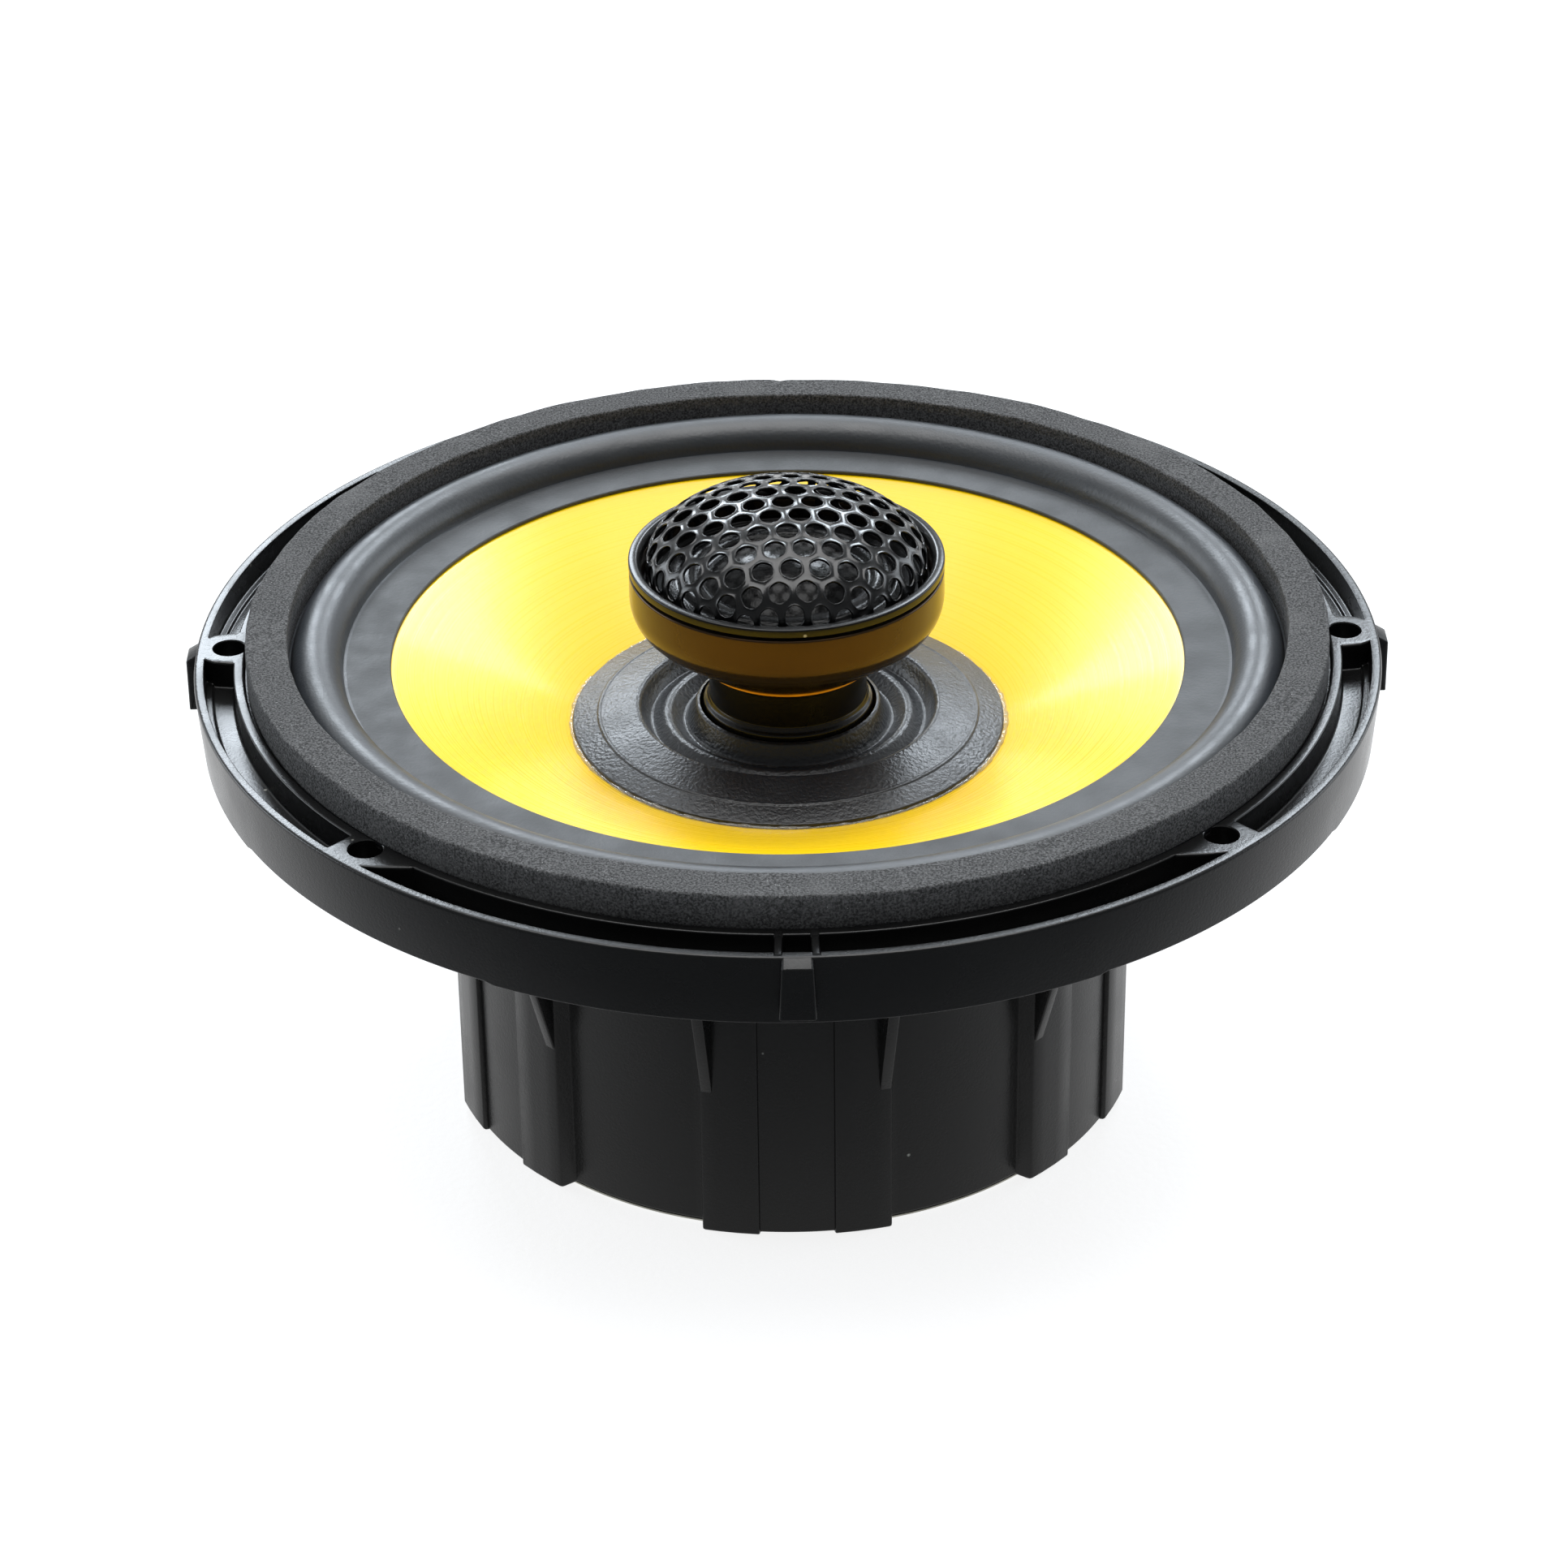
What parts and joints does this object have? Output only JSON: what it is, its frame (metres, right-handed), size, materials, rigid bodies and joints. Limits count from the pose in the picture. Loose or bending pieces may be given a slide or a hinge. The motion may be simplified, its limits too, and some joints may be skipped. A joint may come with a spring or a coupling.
{
  "type": "coaxial car speaker",
  "caption": "Round coaxial car speaker: woofer in a moulded basket with a foam gasket, and a grilled dome tweeter on a central stem.",
  "frame": {"origin": "On the axis of the speaker, in the plane of its rear cover, which it rests on.", "axes": "+Z is the axis, towards the front of the speaker; the terminals face +Y; X is across."},
  "size_m": [0.1676, 0.1676, 0.0891],
  "materials": {
    "black_plastic": "satin moulded ABS",
    "foam": "matt die-cut foam",
    "rubber": "satin butyl rubber",
    "spider_cloth": "resin-stiffened woven cloth",
    "zinc_steel": "zinc-plated steel",
    "ferrite": "sintered ferrite",
    "phenolic_board": "phenolic board",
    "brass": "tinned brass blade",
    "copper": "enamelled copper wire",
    "red_insulation": "PVC insulation",
    "black_insulation": "PVC insulation",
    "capacitor_sleeve": "shrink sleeve",
    "tinned_wire": "tinned copper wire",
    "head_plastic": "semi-gloss moulded ABS",
    "grille_metal": "semi-gloss black painted steel",
    "nickel": "nickel-plated neodymium",
    "dome_film": "thin glossy film",
    "yellow_cone": "glossy yellow injection-moulded polypropylene",
    "coil_former": "polyimide film"
  },
  "bodies": {
    "frame": {"basket": "black_plastic", "foam_gasket": "foam", "surround": "rubber", "spider": "spider_cloth", "rear_cover_plate": "zinc_steel", "t_yoke": "zinc_steel", "magnet_ring": "ferrite", "top_plate": "zinc_steel", "basket_screw_1": "zinc_steel", "basket_screw_2": "zinc_steel", "basket_screw_3": "zinc_steel", "basket_screw_4": "zinc_steel", "stem": "black_plastic", "stem_washer": "zinc_steel", "stem_nut": "zinc_steel", "terminal_board": "phenolic_board", "terminal_positive": "brass", "terminal_negative": "brass", "terminal_rivet_1": "zinc_steel", "terminal_rivet_2": "zinc_steel", "tinsel_lead_positive": "copper", "tinsel_lead_negative": "copper", "tweeter_lead_positive": "red_insulation", "tweeter_lead_negative": "black_insulation", "tweeter_capacitor": "capacitor_sleeve", "capacitor_lead": "tinned_wire", "tweeter_cup": "head_plastic", "tweeter_bezel": "head_plastic", "tweeter_grille": "grille_metal", "tweeter_pot": "zinc_steel", "tweeter_magnet": "nickel", "tweeter_pole_plate": "zinc_steel", "tweeter_faceplate": "black_plastic", "tweeter_surround": "dome_film"},
    "woofer_diaphragm": {"cone": "yellow_cone", "dust_seal_ring": "rubber", "voice_coil_former": "coil_former", "voice_coil_winding": "copper"},
    "tweeter_diaphragm": {"tweeter_dome": "dome_film", "tweeter_former": "coil_former", "tweeter_coil": "copper"}
  },
  "joints": [
    {"name": "cone_travel", "type": "slide", "parent": "frame", "child": "woofer_diaphragm", "axis": [0, 0, 1], "range_m": [-0.0045, 0.0045], "stiffness_N_per_m": 900, "deforming": ["surround", "spider", "tinsel_lead_positive", "tinsel_lead_negative"]},
    {"name": "tweeter_travel", "type": "slide", "parent": "frame", "child": "tweeter_diaphragm", "axis": [0, 0, 1], "range_m": [-0.0003, 0.0003], "stiffness_N_per_m": 1500, "deforming": ["tweeter_surround"]}
  ]
}
